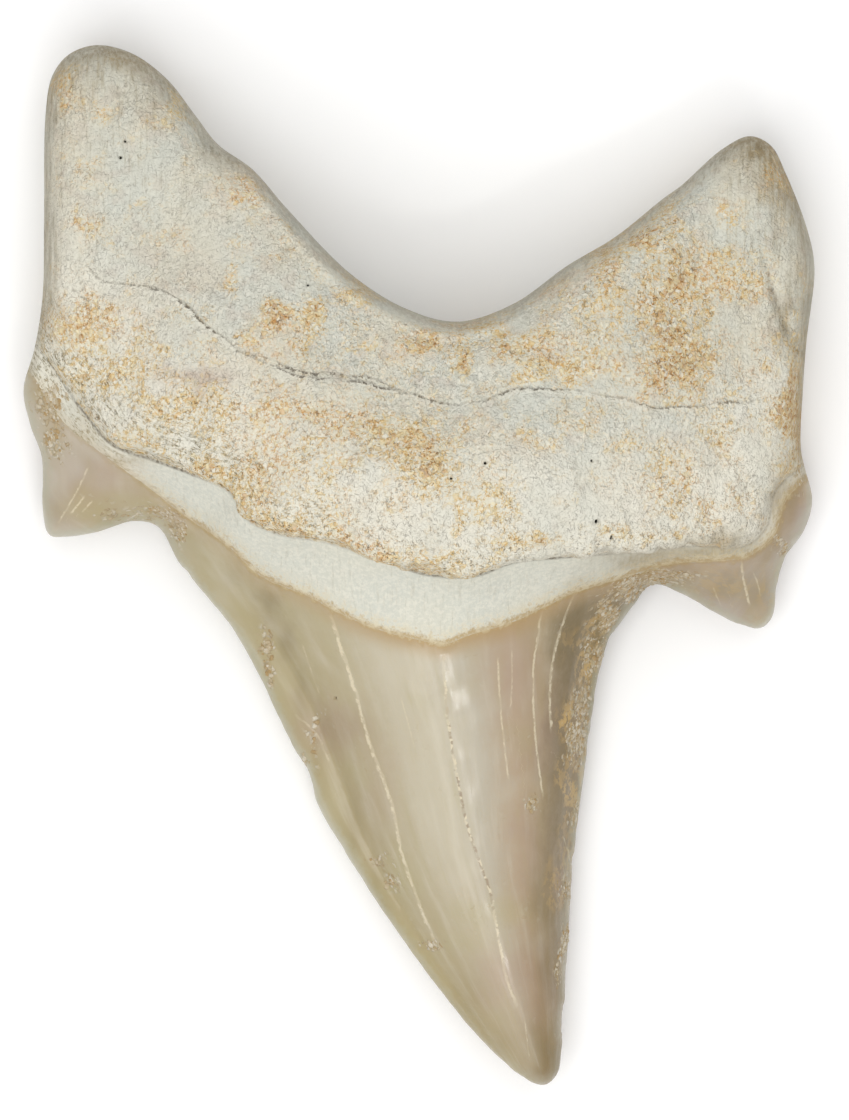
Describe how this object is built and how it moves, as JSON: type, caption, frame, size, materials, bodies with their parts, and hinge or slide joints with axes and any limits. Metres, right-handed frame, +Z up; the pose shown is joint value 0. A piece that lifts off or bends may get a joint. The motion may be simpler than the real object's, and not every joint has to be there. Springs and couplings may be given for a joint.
{
  "type": "fossil shark tooth",
  "caption": "Fossil shark tooth lying on its flatter face: pointed glossy crown, side cusplets, chevron neck band and chalky V-shaped root.",
  "frame": {"origin": "on the surface that the tooth lies on, under the middle of the tooth's bounding box", "axes": "+X across the tooth, +Y from the crown's point to the root lobes, +Z up, out of the rounded inner (lingual) face"},
  "size_m": [0.0494, 0.0649, 0.0186],
  "materials": {
    "fossil_tooth": "chalky cream root with ochre iron stain, satin grey neck band, glossy tan enamel crown"
  },
  "bodies": {
    "root": {"tooth": "fossil_tooth"}
  },
  "joints": []
}
